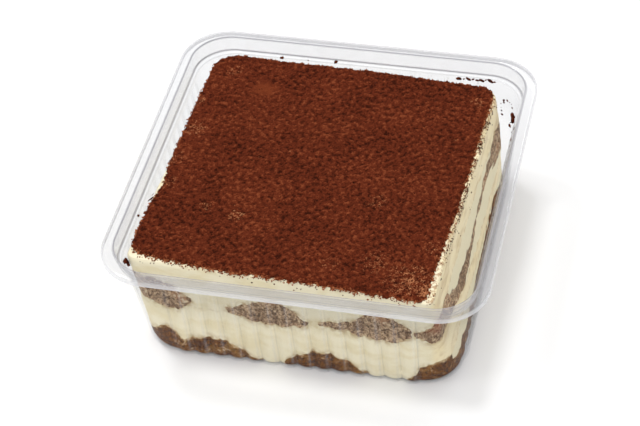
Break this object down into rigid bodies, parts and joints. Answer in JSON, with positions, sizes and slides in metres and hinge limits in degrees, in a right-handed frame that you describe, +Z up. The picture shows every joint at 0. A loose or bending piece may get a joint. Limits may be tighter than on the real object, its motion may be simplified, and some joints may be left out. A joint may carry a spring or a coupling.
{
  "type": "tiramisu in a clear tub",
  "caption": "Square block of tiramisu, sponge fingers and cream layered under cocoa, in its open clear plastic tub with fluted walls and a flat rim.",
  "frame": {"origin": "centre of the tub's flat underside", "axes": "+Z up out of the open tub; +Y from the front, where the sponge fingers show their ends, to the back; +X to the right"},
  "size_m": [0.126, 0.126, 0.0434],
  "materials": {
    "clear_plastic": "clear and glossy",
    "cream": "soft and slightly moist",
    "cocoa": "dry powder",
    "upper_sponge": "moist open crumb",
    "lower_sponge": "soaked crumb"
  },
  "bodies": {
    "root": {"tub": "clear_plastic", "cream": "cream", "cocoa": "cocoa", "upper_sponge_1": "upper_sponge", "upper_sponge_2": "upper_sponge", "upper_sponge_3": "upper_sponge", "upper_sponge_4": "upper_sponge", "lower_sponge_1": "lower_sponge", "lower_sponge_2": "lower_sponge", "lower_sponge_3": "lower_sponge"}
  },
  "joints": []
}
